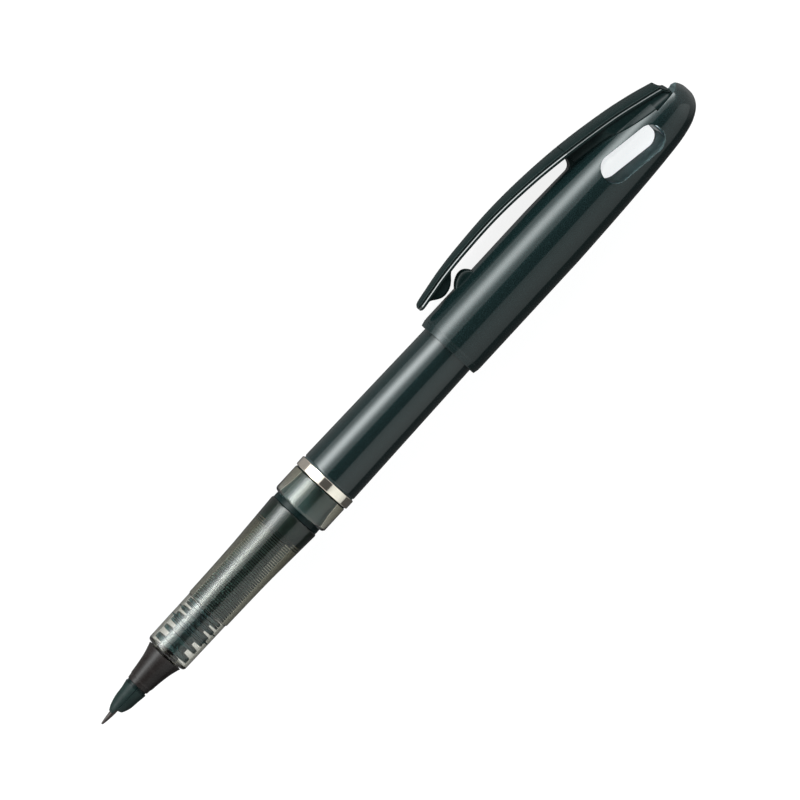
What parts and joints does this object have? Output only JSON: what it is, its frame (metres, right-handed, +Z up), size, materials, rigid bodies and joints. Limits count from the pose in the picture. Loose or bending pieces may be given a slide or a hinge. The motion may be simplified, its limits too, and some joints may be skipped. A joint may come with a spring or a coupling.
{
  "type": "drawing pen",
  "caption": "Fountain-type drawing pen: plastic nib, see-through grip over an ink collector, pearl-grey barrel, and a clip cap with a window posted on the tail.",
  "frame": {"origin": "bottom centre of the pen's box as it lies on a table on its cap and its clip", "axes": "+X along the pen from the nib to the cap's end, +Z up from the table, the clip on the +Y side and turned 18 degrees below level"},
  "size_m": [0.1642, 0.019, 0.0139],
  "materials": {
    "nib_plastic": "satin",
    "holder_plastic": "satin",
    "cone_plastic": "satin",
    "smoke_plastic": "gloss, tinted clear plastic",
    "comb_plastic": "satin",
    "ink_fibre": "ink-soaked fibre",
    "black_plastic": "satin",
    "clear_plastic": "gloss, clear plastic",
    "champagne_metal": "polished",
    "pearl_paint": "pearl paint, satin"
  },
  "bodies": {
    "barrel": {"barrel": "pearl_paint", "tail_plug": "black_plastic"},
    "ring": {"trim_ring": "champagne_metal"},
    "section": {"nib": "nib_plastic", "nib_jaw_upper": "holder_plastic", "nib_jaw_lower": "holder_plastic", "front_cone": "cone_plastic", "grip_shell": "smoke_plastic", "buffer_discs": "comb_plastic", "fin_comb": "comb_plastic", "collector_base": "comb_plastic", "feed_rod": "ink_fibre", "threaded_body": "black_plastic", "ink_collar": "smoke_plastic", "ink_reservoir": "clear_plastic", "reservoir_plug": "black_plastic"},
    "cap": {"cap_shell": "pearl_paint", "inner_cap": "clear_plastic", "clip_root": "black_plastic"},
    "clip": {"clip_arm": "black_plastic"}
  },
  "joints": [
    {"name": "cap_pull", "type": "slide", "parent": "barrel", "child": "cap", "axis": [1, 0, 0], "range_m": [0, 0.04]},
    {"name": "clip_flex", "type": "hinge", "parent": "cap", "child": "clip", "pos_m": [0.05715, 0.00631, 0.0041], "axis": [0, -0.309, -0.9511], "range_deg": [0, 4.5], "stiffness_Nm_per_rad": 0.8},
    {"name": "thread_advance", "type": "slide", "parent": "barrel", "child": "ring", "axis": [-1, 0, 0], "range_m": [0, 0.0045]},
    {"name": "section_turn", "type": "hinge", "parent": "ring", "child": "section", "pos_m": [-0.02505, -0.00253, 0.00697], "axis": [-1, 0, 0], "range_deg": [0, 1080]}
  ],
  "couplings": [
    {"joint": "section_turn", "follows": "thread_advance", "rad_per_m": 4188.8}
  ]
}
